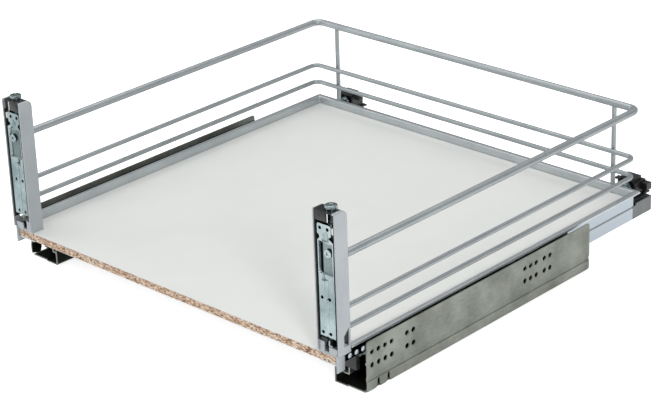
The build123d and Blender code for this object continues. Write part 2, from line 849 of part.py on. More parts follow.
def make_adjuster_housing(side):
    with BuildPart() as adjuster_housing:
        block((adjuster_low, adjuster_high), (adjuster_front, adjuster_rear),
              (bracket_rim, adjuster_base_top))
        block((adjuster_low + 4, adjuster_high - 4), (housing_front, adjuster_rear - 4),
              (adjuster_base_top, adjuster_base_top + 16))
        # cheeks beside the wheel, a cap over it and a finger lug at the outer side
        for low in (adjuster_low + 4, adjuster_high - 7):
            block((low, low + 3), (adjuster_front + 5, housing_front),
                  (adjuster_base_top, adjuster_base_top + 16))
        block((adjuster_low + 8, adjuster_high - 8), (adjuster_front + 7, adjuster_rear - 8),
              (adjuster_base_top + 16, adjuster_base_top + 21))
        block((adjuster_low - 4, adjuster_low + 4), (adjuster_front + 10, adjuster_rear - 12),
              (adjuster_base_top + 12, adjuster_base_top + 14))
        block((adjuster_high - 4, adjuster_high + 5), (adjuster_rear - 14, adjuster_rear - 4),
              (adjuster_base_top + 5, adjuster_base_top + 14))
        cylinder_along_y(
            adjuster_middle, wheel_z, spindle_radius + bore_gap,
            housing_front - 1, housing_front + 10, mode=Mode.SUBTRACT,
        )
        to_side(side)
    finish(adjuster_housing, f"adjuster_housing_{side}")


def make_adjuster_wheel(side):
    with BuildPart() as adjuster_wheel:
        cylinder_along_y(adjuster_middle, wheel_z, adjuster_wheel_radius,
                         wheel_y_rear - adjuster_wheel_thickness, wheel_y_rear)
        chamfer(adjuster_wheel.edges().filter_by(GeomType.CIRCLE), length=0.5)
        with BuildSketch(section(wheel_y_rear)):
            with Locations((adjuster_middle, wheel_z)):
                with PolarLocations(adjuster_wheel_radius + 0.1, adjuster_grooves):
                    Circle(0.5)
        extrude(amount=adjuster_wheel_thickness, mode=Mode.SUBTRACT)
        cylinder_along_y(adjuster_middle, wheel_z, 3.6,
                         wheel_y_rear - adjuster_wheel_thickness - 1.2,
                         wheel_y_rear - adjuster_wheel_thickness)
        cylinder_along_y(adjuster_middle, wheel_z, spindle_radius, wheel_y_rear, housing_front + 9)
        to_side(side)
    finish(adjuster_wheel, f"adjuster_wheel_{side}")


# ---------------------------------------------------------------- screws
def panel_screw(x, y, seat, up=1):
    """Pan-head screw with its head under the seat height, or above it where up is -1."""
    head = (seat - screw_head_height, seat) if up > 0 else (seat, seat + screw_head_height)
    tip = deck - panel_thickness + panel_screw_bite if up > 0 else deck - panel_screw_bite
    cylinder_along_z(x, y, screw_head_radius, *head)
    cylinder_along_z(x, y, screw_radius, min(seat, tip), max(seat, tip))


def make_screws(side):
    with BuildPart() as runner_screws:
        for row in runner_screw_rows:
            panel_screw(screw_x, front + row, upper_track)
        to_side(side)
    finish(runner_screws, f"runner_screws_{side}")
    with BuildPart() as foot_screw_pair:
        for x, y in foot_screws:
            panel_screw(x, y, tower_base, up=-1)
        to_side(side)
    finish(foot_screw_pair, f"foot_screws_{side}")


with BuildPart() as back_screws:
    for x in back_screw_columns:
        panel_screw(x, back_screw_y, ledge_z - sheet / 2)
finish(back_screws, "back_screws")


for hand in ("left", "right"):
    make_side_rail(hand)
    make_post(hand)
    make_tower_foot(hand)
    make_tower_housing(hand)
    make_tower_liner(hand)
    make_tower_block(hand)
    make_thumb_wheel(hand)
    make_fixing_plate(hand)
    make_cam_screw(hand)
    make_return_spring(hand)
    make_catch_hook(hand)
    make_cabinet_rail(hand)
    make_rail_stop(hand)
    make_drawer_runner(hand)
    make_runner_cap(hand)
    make_middle_runner(hand)
    make_cages(hand)
    make_rear_bracket(hand)
    make_adjuster_housing(hand)
    make_adjuster_wheel(hand)
    make_screws(hand)
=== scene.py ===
# %% [markdown]
# # A pull-out basket for a kitchen cabinet
#
# The solids come from CAD: every panel, rail and plate already stands where it belongs.
# This script dresses them. It gives each surface the finish of the real thing, and models
# again, with more detail, the pieces that a viewer looks at closely.

# %% Load the solids
import json

import bmesh
import bpy
from math import cos, pi, radians, sin
from mathutils import Matrix, Vector

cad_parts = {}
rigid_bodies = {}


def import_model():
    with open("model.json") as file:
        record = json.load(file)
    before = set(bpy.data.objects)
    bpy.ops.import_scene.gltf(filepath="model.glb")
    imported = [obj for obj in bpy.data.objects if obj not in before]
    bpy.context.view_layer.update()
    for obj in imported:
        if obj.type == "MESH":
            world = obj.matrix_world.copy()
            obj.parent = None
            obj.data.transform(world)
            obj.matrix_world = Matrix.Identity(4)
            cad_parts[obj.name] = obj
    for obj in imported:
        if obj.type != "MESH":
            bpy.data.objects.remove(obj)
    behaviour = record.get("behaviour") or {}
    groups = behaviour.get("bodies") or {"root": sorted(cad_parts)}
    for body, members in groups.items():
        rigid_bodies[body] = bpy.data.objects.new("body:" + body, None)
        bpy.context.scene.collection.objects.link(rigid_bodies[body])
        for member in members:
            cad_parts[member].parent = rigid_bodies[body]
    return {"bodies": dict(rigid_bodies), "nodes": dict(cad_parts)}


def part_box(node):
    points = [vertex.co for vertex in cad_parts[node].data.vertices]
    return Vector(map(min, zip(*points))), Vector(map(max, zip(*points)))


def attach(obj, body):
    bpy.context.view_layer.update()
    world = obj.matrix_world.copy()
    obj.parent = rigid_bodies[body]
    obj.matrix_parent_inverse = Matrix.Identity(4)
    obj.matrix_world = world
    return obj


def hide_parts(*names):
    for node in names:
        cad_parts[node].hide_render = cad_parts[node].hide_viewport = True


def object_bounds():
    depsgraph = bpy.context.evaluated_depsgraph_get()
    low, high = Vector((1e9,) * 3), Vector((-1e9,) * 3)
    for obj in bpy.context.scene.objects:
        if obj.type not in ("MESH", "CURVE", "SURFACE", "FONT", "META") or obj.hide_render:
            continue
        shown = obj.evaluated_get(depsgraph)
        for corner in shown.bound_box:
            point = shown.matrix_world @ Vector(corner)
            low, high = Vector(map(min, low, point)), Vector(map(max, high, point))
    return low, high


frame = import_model()
nodes = frame["nodes"]
cad_low, cad_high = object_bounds()
mm = 0.001
print("the solids fill", [round(high - low, 4) for low, high in zip(cad_low, cad_high)])

# %% [markdown]
# Sizes of the pieces and of their patterns are in millimetres, as on a drawing. The camera, the
# floor and the lamps are placed in metres, Blender's own unit. The places of the plates, towers
# and rails are read from the solids, so that the details follow them.


# %% Boxes in millimetres
def box_in_mm(name):
    """The lowest and highest corners of a CAD node, in mm."""
    return [[value / mm for value in corner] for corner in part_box(name)]


panel_low, panel_high = box_in_mm("tray_panel")
tower_low, tower_high = box_in_mm("tower_housing_right")
plate_low, plate_high = box_in_mm("fixing_plate_right")
rail_low, rail_high = box_in_mm("cabinet_rail_right")
print("panel from", [round(v, 1) for v in panel_low], "to", [round(v, 1) for v in panel_high])
print("tower from", [round(v, 1) for v in tower_low], "to", [round(v, 1) for v in tower_high])

# %% [markdown]
# ## Camera
#
# The photograph was taken from the front right corner and from above, with a long lens.
# A long lens keeps parallel edges nearly parallel. The lens and the place of the camera were
# worked out from edges whose real lengths are known.

# %% Camera
camera_data = bpy.data.cameras.new("photo_lens")
camera_data.sensor_width = 36.0
camera_data.lens = 118.05
camera_data.clip_end = 50.0
camera = bpy.data.objects.new("photo_camera", camera_data)
bpy.context.scene.collection.objects.link(camera)
yaw, pitch, roll = radians(43.76), radians(23.84), radians(2.04)
camera.matrix_world = (
    Matrix.Translation((1.6889, -1.7817, 1.1474))
    @ Matrix.Rotation(yaw, 4, "Z")
    @ Matrix.Rotation(pi / 2 - pitch, 4, "X")
    @ Matrix.Rotation(-roll, 4, "Z")
)
bpy.context.scene.camera = camera
print("camera at", [round(value, 4) for value in camera.matrix_world.translation])

# %% [markdown]
# ## Helpers for materials
#
# A material in Blender is a small network of nodes. One helper adds a node, and another sets or
# wires the inputs of a node that is already there. Colours are written as on the web, in sRGB,
# and turned to the linear values that the renderer computes with.


# %% Material helpers
def linear(hex_colour):
    """sRGB hex to linear red, green, blue and alpha."""
    channels = [int(hex_colour[i:i + 2], 16) / 255 for i in (1, 3, 5)]
    return [c / 12.92 if c <= 0.04045 else ((c + 0.055) / 1.055) ** 2.4 for c in channels] + [1.0]


def wire(target, *values, **named):
    """Sets the inputs of a node, in order or by name, with _ for a space: Base_Color.

    A value is a number, a colour, or the output of another node.
    """
    pairs = list(zip([socket for socket in target.inputs if socket.enabled], values))
    pairs += [(target.inputs[name.replace("_", " ")], value) for name, value in named.items()]
    for socket, value in pairs:
        if isinstance(value, bpy.types.NodeSocket):
            target.id_data.links.new(value, socket)
        else:
            socket.default_value = value


def node(tree, kind, *values, **named):
    """Adds a node and gives back its first output.

    Keywords in small letters are the node's settings, and the others are its inputs.
    """
    new = tree.nodes.new("ShaderNode" + kind)
    for name, value in named.items():
        if name.islower():
            setattr(new, name, value)
    wire(new, *values, **{name: value for name, value in named.items() if not name.islower()})
    return next(socket for socket in new.outputs if socket.enabled)


# %% [markdown]
# ## One recipe for every finish
#
# Real surfaces are never one flat colour. Each finish here has two noises. The wide one clouds
# the colour over some centimetres, as plating, lacquer and plastic do. The fine one draws the
# marks of how the surface was made, and it moves the colour, the gloss and the relief together.
# Marks finer than about a quarter of a millimetre wouldn't show in a render of this size, so the
# real marks of plating are drawn as coarse as that.

# %% The recipe
cloud_size = 40.0  # mm


def surface(name, light, dark, roughness, size, stretch, depth, metallic=1.0, tint=None):
    """A finish with cloudy colour, patchy gloss and fine marks.

    The marks are size mm wide and depth mm deep, drawn out along an axis by a stretch above 1.
    Gives back the material, its tree, its shader, the object's own coordinates and the colour.
    """
    new = bpy.data.materials.new(name)
    new.use_nodes = True
    tree = new.node_tree
    shader = tree.nodes["Principled BSDF"]
    place = node(tree, "TexCoord").node.outputs["Object"]
    clouds, marks = [
        node(
            tree, "TexNoise", Scale=1.0, Detail=4.0,
            Vector=node(tree, "Mapping", Vector=place, Scale=[1 / (width * mm * s) for s in drawn]),
        )
        for width, drawn in ((cloud_size, (1, 1, 1)), (size, stretch))
    ]
    both = node(tree, "Math", marks, 0.6, clouds, operation="MULTIPLY_ADD")
    share = node(tree, "MapRange", both, 0.6, 1.0, 0.0, 1.0)
    colour = node(tree, "Mix", share, linear(dark), linear(light), data_type="RGBA")
    wire(
        shader, Base_Color=colour, Metallic=metallic,
        Roughness=node(tree, "MapRange", marks, 0.3, 0.7, *roughness),
        Normal=node(tree, "Bump", Strength=1.0, Distance=depth * mm, Height=marks),
    )
    if tint:
        wire(shader, Specular_Tint=linear(tint))
    print("finish", name)
    return new, tree, shader, place, colour


# %% [markdown]
# ## Metals
#
# The frame and towers are steel sheet, the gallery is chromed rod, the wall rails are galvanised
# sheet, and the plates for the drawer front are bright zinc. Metals mostly show the room around
# them. What tells them apart is their tint, their gloss and the fine marks of how they were made.
#
# The frame is plated with satin nickel: a cool grey, with faint rolling marks along the sheet.
# Its outer side wall is polished by the rail that it slides past, and mirrors the dark inside
# and the screw holes of that rail. A mask by place picks that wall out.

# %% Satin nickel
satin_nickel, tree, shader, place, colour = surface(
    "satin_nickel", "#CACFD1", "#BAC0C3", (0.28, 0.4), 0.25, (1, 60, 1), 0.004, metallic=0.7,
    tint="#B8BCBE",
)
wall_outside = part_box("drawer_runner_right")[1][0]  # in metres, as the mask compares them
lip_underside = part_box("side_rail_right")[1][2] - 1.5 * mm
wall_margin = 0.15  # mm either side of the wall's outer face
x, _, z = node(tree, "SeparateXYZ", place).node.outputs
aside = node(tree, "Math", x, operation="ABSOLUTE")
wall = node(tree, "Math", aside, wall_outside, wall_margin * mm, operation="COMPARE")
low_down = node(tree, "Math", z, lip_underside, operation="LESS_THAN")
polished = node(tree, "Math", wall, low_down, operation="MULTIPLY")
gloss = node(tree, "Math", polished, -0.85, 1.0, operation="MULTIPLY_ADD")
plain_roughness = shader.inputs["Roughness"].links[0].from_socket
wire(
    shader, Roughness=node(tree, "Math", plain_roughness, gloss, operation="MULTIPLY"),
    Base_Color=node(tree, "Mix", wall, colour, linear("#A4ACB3"), data_type="RGBA"),
    Metallic=node(tree, "Math", wall, 0.3, 0.7, operation="MULTIPLY_ADD"),
)

# %% [markdown]
# The towers have a silver lacquer over the steel. It is softer and bluer than the nickel, so the
# towers stand out from the frame. A black moulding is let into each roof, between the two side
# walls. It is flush with the lacquer, so a mask colours it rather than a piece of its own.

# %% Silver lacquer on steel
tower_lacquer, tree, shader, place, colour = surface(
    "silver_lacquer_on_steel", "#B2B7BA", "#A7ADB1", (0.34, 0.46), 0.5, (1, 1, 30), 0.006,
    metallic=0.3, tint="#B4B8BC",
)
inside, front, _ = tower_low
outside, back, roof = tower_high
inlay_middle, inlay_half = (inside + outside) / 2 - 1, (outside - inside) / 2 - 3
inlay_depth = 2.0  # down from the roof, and in front of the tower's back wall
x, y, z = node(tree, "SeparateXYZ", place).node.outputs
aside = node(tree, "Math", x, operation="ABSOLUTE")
across = node(tree, "Math", aside, inlay_middle * mm, inlay_half * mm, operation="COMPARE")
on_top = node(tree, "Math", z, (roof - inlay_depth) * mm, operation="GREATER_THAN")
before_back = node(tree, "Math", y, (back - inlay_depth) * mm, operation="LESS_THAN")
inlay = node(tree, "Math", across, on_top, operation="MULTIPLY")
inlay = node(tree, "Math", inlay, before_back, operation="MULTIPLY")
wire(
    shader, Base_Color=node(tree, "Mix", inlay, colour, linear("#0D0E0F"), data_type="RGBA"),
    Metallic=node(tree, "Math", inlay, -0.3, 0.3, operation="MULTIPLY_ADD"),
)

# %% [markdown]
# The gallery is bent from bright chromed rod. Under soft light the chrome reads as an even grey
# with darker rims, so it is drawn half metal, and its tint darkens the rims.

# %% Chromed rod
chromed_rod, *_ = surface(
    "chromed_rod", "#A9AFB1", "#9BA1A4", (0.3, 0.4), 0.4, (6, 6, 6), 0.003, metallic=0.5,
    tint="#8C9294",
)

# %% [markdown]
# The plates, wheels and screws of the towers have bright zinc plating: cold, slightly mottled,
# and glossy enough to mirror its neighbours. Where the press has pushed the plate in, a second
# zinc carries painted shade: it is darker and a little rougher, and darkens further with depth,
# which brings the sunk fields out under soft light.

# %% Bright zinc
bright_zinc, *_ = surface(
    "bright_zinc", "#A4B1B3", "#748385", (0.16, 0.36), 1.2, (1, 1, 4), 0.02, tint="#9FB0B2"
)

# %% Zinc with painted shade in the pressings
plate_front = plate_low[1] + 1.3
shade_from, shade_to = plate_front + 1.4, plate_front + 3.0
shaded_zinc, tree, shader, place, colour = surface(
    "zinc_with_painted_shade", "#98A5A7", "#6C7A7C", (0.24, 0.44), 1.2, (1, 1, 4), 0.02, tint="#8B999B"
)
y = node(tree, "SeparateXYZ", place).node.outputs["Y"]
# Painted shade: the zinc darkens towards #1C2022 with depth behind the plate's front.
deep = node(tree, "MapRange", y, shade_from * mm, shade_to * mm, 0.0, 1.0)
wire(shader, Base_Color=node(tree, "Mix", deep, colour, linear("#1C2022"), data_type="RGBA"))

# %% [markdown]
# Screws and springs are plain polished steel, brighter and smoother than the plates around them.

# %% Polished steel
bright_steel, *_ = surface(
    "bright_steel", "#D8DADA", "#B4B8B8", (0.12, 0.2), 0.3, (1, 1, 1), 0.004
)

# %% [markdown]
# Hot galvanised steel is covered by flat zinc crystals, 6 to 11 mm wide here, each a slightly
# different grey. Voronoi cells have the same look.

# %% Galvanised steel
galvanised, tree, shader, place, colour = surface(
    "galvanised_steel", "#A5A8A1", "#8F938C", (0.3, 0.46), 0.5, (1, 20, 1), 0.008, tint="#8C908A"
)
crystals = node(
    tree, "TexVoronoi", feature="F1", Scale=1.0,
    Vector=node(tree, "Mapping", Vector=place, Scale=(160, 90, 160)),
).node.outputs["Color"]
share = node(tree, "MapRange", crystals, 0.0, 1.0, 0.0, 0.35)
wire(shader, Base_Color=node(tree, "Mix", share, colour, linear("#C0C4BC"), data_type="RGBA"))

# %% [markdown]
# The wall rails are galvanised strip with a finer, warmer surface. Their inside is rougher and
# carries painted shade, nearly black, which is what shows between the basket and the cabinet.
# The mask takes the faces that look inwards and all that lies deep in the rail, and leaves out a
# strip along the top edge, the floor's lower skin and the cut front edge, which stay bright.

# %% Galvanised wall rail, with painted shade inside
wall_rail, tree, shader, place, colour = surface(
    "galvanised_wall_rail", "#92968F", "#6F736C", (0.36, 0.54), 0.6, (1, 14, 1), 0.02,
    metallic=0.6, tint="#A4A8A1",
)
top_strip, deep_inside, floor_skin, cut_edge = 7.0, 7.0, 1.4, 1.0
x, y, z = node(tree, "SeparateXYZ", place).node.outputs
normal = node(tree, "NewGeometry").node.outputs["Normal"]
sideways = node(tree, "Math", node(tree, "SeparateXYZ", normal), x, operation="MULTIPLY")
inward = node(tree, "Math", sideways, -0.01, operation="LESS_THAN")
aside = node(tree, "Math", x, operation="ABSOLUTE")
deep = node(tree, "Math", aside, (rail_high[0] - deep_inside) * mm, operation="LESS_THAN")
shade = node(tree, "Math", inward, deep, operation="MAXIMUM")
for mask in (
    node(tree, "Math", z, (rail_high[2] - top_strip) * mm, operation="LESS_THAN"),
    node(tree, "Math", z, floor_skin * mm, operation="GREATER_THAN"),
    node(tree, "Math", y, (rail_low[1] + cut_edge) * mm, operation="GREATER_THAN"),
):
    shade = node(tree, "Math", shade, mask, operation="MULTIPLY")
rolled = node(
    tree, "TexNoise", Scale=1.0, Detail=4.0,
    Vector=node(tree, "Mapping", Vector=place, Scale=[1 / (0.5 * mm * s) for s in (1, 20, 1)]),
)
rolled = node(tree, "MapRange", rolled, 0.3, 0.7, 0.32, 0.46)
# Painted shade: the masked inside is mixed towards the near-black #1C1E1C.
wire(
    shader, Base_Color=node(tree, "Mix", shade, colour, linear("#1C1E1C"), data_type="RGBA"),
    Roughness=node(tree, "Math", shade, 0.3, rolled, operation="MULTIPLY_ADD"),
)

# %% [markdown]
# ## Plastics
#
# The mouldings have a fine spark-eroded grain. It breaks up the light on black parts, so that
# they read as plastic and not as holes. The rollers are natural nylon, a warm white.

# %% Black, grey and natural mouldings
black_moulding, *_ = surface(
    "black_moulding", "#16181A", "#08090A", (0.36, 0.55), 0.35, (1, 1, 1), 0.02, metallic=0.0
)
grey_moulding, *_ = surface(
    "grey_moulding", "#7A7F80", "#5C6162", (0.36, 0.52), 0.35, (1, 1, 1), 0.02, metallic=0.0
)
nylon, *_ = surface(
    "natural_nylon", "#ECEBE4", "#D9D7CE", (0.3, 0.42), 0.5, (1, 1, 1), 0.01, metallic=0.0
)

# %% [markdown]
# ## The panel
#
# A chipboard panel with white melamine on both faces. The melamine is smooth, with a fine
# pressed grain. The front edge is left raw, and shows the pressed chips: tan, pinkish and brown
# flakes that lie flat. Voronoi cells, wider than they are high, stand for the flakes, and a ramp
# of hard steps gives each its colour. The mask for that edge is the distance along Y, and the
# two thin white layers are found by their height.

# %% Melamine-faced chipboard
melamine_board, tree, shader, place, white = surface(
    "melamine_faced_chipboard", "#DFE1DE", "#DDDFDC", (0.3, 0.38), 0.6, (1, 1, 1), 0.004,
    metallic=0.0,
)
core_half, edge_depth = 4.6, 0.1
# The flakes are about 3.0 mm wide, 1.4 mm deep and 1.2 mm high.
flakes = node(
    tree, "TexVoronoi", feature="F1", Scale=1.0, Randomness=1.0,
    Vector=node(tree, "Mapping", Vector=place, Scale=(330, 700, 820)),
).node.outputs
dust = node(
    tree, "TexNoise", Scale=1.0, Detail=4.0,
    Vector=node(tree, "Mapping", Vector=place, Scale=[1 / (0.8 * mm)] * 3),
)

# %% Colours of the flakes
tone = node(tree, "SeparateColor", flakes["Color"])
chips = node(tree, "ValToRGB", tone)
ramp = chips.node.color_ramp
ramp.interpolation = "CONSTANT"
chip_colours = ["#4A352A", "#B8977C", "#D9BDA2", "#EBD8C3", "#C4A288", "#F5E9DB", "#8C6A54"]
ramp.elements[0].color = linear(chip_colours[0])
ramp.elements[1].position = 0.12
ramp.elements[1].color = linear(chip_colours[1])
for index, chip_colour in enumerate(chip_colours[2:]):
    ramp.elements.new(0.27 + 0.15 * index).color = linear(chip_colour)
dusty = node(tree, "MapRange", dust, 0.3, 0.7, 0.0, 0.35)
chipboard = node(tree, "Mix", dusty, chips, linear("#D8B394"), data_type="RGBA")
print(len(ramp.elements), "colours of flakes")

# %% Raw front edge
_, y, z = node(tree, "SeparateXYZ", place).node.outputs
middle_height = (panel_low[2] + panel_high[2]) / 2
from_middle = node(tree, "Math", z, middle_height * mm, operation="SUBTRACT")
from_middle = node(tree, "Math", from_middle, operation="ABSOLUTE")
in_core = node(tree, "Math", from_middle, core_half * mm, operation="LESS_THAN")
at_front = node(tree, "Math", y, (panel_low[1] + edge_depth) * mm, operation="LESS_THAN")
raw = node(tree, "Math", in_core, at_front, operation="MULTIPLY")
dust_gloss = node(tree, "MapRange", dust, 0.3, 0.7, 0.28, 0.34)
chip_height = node(tree, "Math", raw, flakes["Distance"], operation="MULTIPLY")
wire(
    shader, Base_Color=node(tree, "Mix", raw, white, chipboard, data_type="RGBA"),
    Roughness=node(tree, "Math", raw, 0.5, dust_gloss, operation="MULTIPLY_ADD"),
    Normal=node(tree, "Bump", Strength=1.0, Distance=0.5 * mm, Height=chip_height),
)
print("raw edge", 2 * core_half, "mm high between the white faces")

# %% [markdown]
# ## Put the finishes on the solids
#
# The edges of folded and stamped sheet are never sharp. A tiny rounding catches a line of
# light along them, which is what makes sheet metal look real.


# %% Dress the CAD nodes
def dress(finish, *names, round_edges=0.0):
    """Gives CAD nodes a finish, and rounds their edges by so many mm.

    A name that ends in _ stands for its left and right twins.
    """
    for name in names:
        for full in ([name + "left", name + "right"] if name.endswith("_") else [name]):
            for slot in nodes[full].material_slots:
                slot.material = finish
            if round_edges:
                modifier = nodes[full].modifiers.new("worn_edges", "BEVEL")
                modifier.width = round_edges * mm
                modifier.segments = 2
                modifier.limit_method = "ANGLE"
                modifier.angle_limit = radians(50)
                modifier.harden_normals = True
    print(finish.name, "on", *names)


dress(melamine_board, "tray_panel")
dress(satin_nickel, "back_rail", "side_rail_", "drawer_runner_", round_edges=0.3)
dress(tower_lacquer, "tower_housing_", "tower_foot_", round_edges=0.35)
dress(chromed_rod, "top_rail", "upper_wire", "lower_wire", "back_post_")
dress(wall_rail, "cabinet_rail_")
dress(galvanised, "middle_runner_", "rail_stop_")
dress(bright_zinc, "thumb_wheel_", "fixing_plate_", "cam_screw_", "catch_hook_",
      "adjuster_wheel_")
dress(bright_steel, "return_spring_", "runner_screws_", "foot_screws_", "back_screws")
# The black of the runner caps is painted shade on the runners' front ends.
dress(black_moulding, "tower_liner_", "tower_block_", "upper_cage_", "lower_cage_",
      "adjuster_housing_", "runner_cap_", round_edges=0.4)
dress(grey_moulding, "rear_bracket_", round_edges=0.4)
dress(nylon, "upper_rollers_", "lower_rollers_")

# %% [markdown]
# ## Helpers for pieces
#
# Every detailed piece is drawn once, for the right-hand side and in millimetres. Its left-hand
# twin is the mirror image of the same mesh. A piece replaces the plain CAD node of the same
# name, and rides on that node's body, so it moves as the node would.


# %% Piece helpers
def place_piece(mesh, name, finish, body, slot_name, *replaced, sharp=35, spare=()):
    """Makes the right-hand object and its mirrored twin from a mesh in millimetres.

    Edges sharper than so many degrees stay hard. Spare finishes are for faces with an index.
    """
    for side, sign in (("right", 1), ("left", -1)):
        twin = mesh.copy()
        bmesh.ops.scale(twin, vec=(sign * mm, mm, mm), verts=twin.verts)
        bmesh.ops.recalc_face_normals(twin, faces=twin.faces)
        data = bpy.data.meshes.new(f"{name}_{side}")
        twin.to_mesh(data)
        twin.free()
        for used in (finish, *spare):
            data.materials.append(used)
        data.polygons.foreach_set("use_smooth", [True] * len(data.polygons))
        data.set_sharp_from_angle(angle=radians(sharp))
        piece = bpy.data.objects.new(f"{name}_{side}", data)
        bpy.context.scene.collection.objects.link(piece)
        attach(piece, f"{body}_{side}" if f"{body}_{side}" in frame["bodies"] else body)
        if replaced:
            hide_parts(*[f"{node_name}_{side}" for node_name in replaced])
    low, high = [
        [round(pick(vert.co[i] for vert in mesh.verts), 1) for i in range(3)] for pick in (min, max)
    ]
    print(f"{name}: {len(mesh.faces)} faces a side, from {low} to {high} mm")
    mesh.free()


def sheet_with_holes(mesh, outline, holes, y):
    """Fills a flat outline (x, z) at the depth y, leaving the round holes (x, z, radius) open."""
    rim = [mesh.verts.new((x, y, z)) for x, z in outline]
    for a, b in zip(rim, rim[1:] + rim[:1]):
        mesh.edges.new((a, b))
    for x, z, radius in holes:
        bmesh.ops.create_circle(
            mesh, radius=radius, segments=24,
            matrix=Matrix.Translation((x, y, z)) @ Matrix.Rotation(pi / 2, 4, "X"),
        )
    bmesh.ops.triangle_fill(mesh, use_beauty=True, edges=mesh.edges[:])


def cut(mesh, normal, places):
    """Cuts the mesh at right angles to a normal, at so many mm along it."""
    for place in places:
        bmesh.ops.bisect_plane(
            mesh, geom=mesh.verts[:] + mesh.edges[:] + mesh.faces[:],
            plane_co=Vector(normal) * place, plane_no=normal,
        )


def thicken(mesh, outwards, thickness):
    """Turns an open sheet to face outwards and gives it a thickness behind that face."""
    bmesh.ops.recalc_face_normals(mesh, faces=mesh.faces)
    if sum(face.normal.dot(Vector(outwards)) * face.calc_area() for face in mesh.faces) < 0:
        bmesh.ops.reverse_faces(mesh, faces=mesh.faces)
    bmesh.ops.solidify(mesh, geom=mesh.faces[:], thickness=thickness)


def block(mesh, low, high, rounding=0.3):
    """A block between two corners, with rounded edges."""
    size = [b - a for a, b in zip(low, high)]
    middle = [(a + b) / 2 for a, b in zip(low, high)]
    made = bmesh.ops.create_cube(
        mesh, size=1.0, matrix=Matrix.Translation(middle) @ Matrix.Diagonal((*size, 1))
    )["verts"]
    edges = {edge for vert in made for edge in vert.link_edges}
    bmesh.ops.bevel(
        mesh, geom=list(edges), offset=rounding, segments=2, profile=0.5, affect="EDGES",
        material=-1,
    )


def turned(mesh, profile, centre, axis, segments=48):
    """Spins a profile of (radius, height) round an axis through a centre."""
    across = Vector((1, 0, 0))
    points = [mesh.verts.new(Vector(centre) + across * r + Vector(axis) * h) for r, h in profile]
    edges = [mesh.edges.new((a, b)) for a, b in zip(points, points[1:])]
    bmesh.ops.spin(
        mesh, geom=points + edges, cent=centre, axis=axis, angle=2 * pi, steps=segments,
        use_merge=True,
    )
    bmesh.ops.remove_doubles(mesh, verts=mesh.verts, dist=0.001)


# %% [markdown]
# ## Plates for the drawer front
#
# Each tower holds a pressed zinc plate. It is one piece of sheet: a head with two screw holes,
# a waist, a sunk field for the clamping screw and a long foot with a raised rib. The sheet is
# filled from its outline, cut along the lines where the press bends it, and then pushed in and
# out along those lines. Fields made as pieces of their own would be simpler, but their edges
# wouldn't flow into the sheet.

# %% What the press does
up = panel_high[2]  # top face of the panel, from which heights on the tower are counted
left, right = plate_low[0], plate_high[0]
plate_middle = (left + right) / 2
hole_middle = plate_middle - 1.7
plate_sheet, rib_height, field_depth, band_depth = 1.2, 1.3, 2.0, 3.4
neck_depth, dent_depth = 1.2, 1.6
print("plate", round(right - left, 1), "mm wide, its front", round(plate_front - front, 1),
      "mm behind the tower's")


def pressed(x, z):
    """How far the press pushed the sheet back (above 0) or forwards (below 0), in mm."""
    height = z - up
    if 22 <= height < 90 and abs(x - (plate_middle + 0.2)) < 1.5:
        return -rib_height
    if 97.5 < height < 133.5 and left + 2.2 < x < right - 2.2:
        return field_depth if x > left + 5 else band_depth
    if 136 < height < 141 and abs(x - plate_middle) < 4:
        return neck_depth
    if 88.5 < height < 94.5 and abs(x - plate_middle + 4) < 2.5 - abs(height - 91) * 0.4:
        return dent_depth
    return 0.0


# %% Fixing plate
fixing = bmesh.new()
outline = [
    (left, up + 22), (right, up + 22), (right, up + 136), (right - 5.5, up + 139),
    (right - 5.5, up + 141), (right - 2.5, up + 143), (right - 2.5, up + 153.5),
    (right - 4, up + 155), (left + 1.5, up + 155), (left, up + 153.5), (left, up + 143),
    (left + 3, up + 141), (left + 3, up + 138), (left, up + 135),
]
holes = [(hole_middle + s * 5.5, up + h, 2.1) for h in (26.5, 68.0, 150.0) for s in (-1, 1)]
holes.append((plate_middle + 3, up + 122, 2.0))
sheet_with_holes(fixing, outline, holes, plate_front)
# The sheet is cut where the press bends it.
cut(fixing, (0, 0, 1),
    [up + h for h in (30, 88, 90, 91, 92, 94, 96.5, 98, 133, 134.5, 136.5, 140.5)])
cut(fixing, (1, 0, 0), [left + x for x in (1.4, 2.6, 4.6, 6.2)])
cut(fixing, (1, 0, 0), [plate_middle + x for x in (-4, -1.8, -0.7, 1.1, 2.2)])
cut(fixing, (1, 0, 0), [right - x for x in (2.6, 1.4)])
for vert in fixing.verts:
    vert.co.y += pressed(vert.co.x, vert.co.z)
# Faces pushed back by the press take the second zinc, with its painted shade.
for face in fixing.faces:
    if face.calc_center_median().y > plate_front + 0.5:
        face.material_index = 1  # the zinc in pressings
thicken(fixing, (0, -1, 0), plate_sheet)
for low_x, high_x in ((left, left + 1.4), (right - 1.4, right)):  # flanges folded back
    block(fixing, (low_x, plate_front + plate_sheet, up + 24),
          (high_x, plate_front + 8, up + 135.5), 0.3)
block(fixing, (plate_middle - 4, plate_front + 1.6, up + 132.2),
      (plate_middle + 8, plate_high[1], up + 136.8), 0.3)
place_piece(fixing, "drawer_front_plate", bright_zinc, "fixing", "zinc", "fixing_plate",
            sharp=12, spare=[shaded_zinc])

# %% [markdown]
# ## Thumb wheels
#
# A knurled wheel on each tower lifts the plate by a millimetre or two. The knurling is a ring
# of teeth: the corners of the rim are drawn in towards the middle, two and two. A bump pattern
# would leave the wheel's outline round, and the outline is what shows against the black.

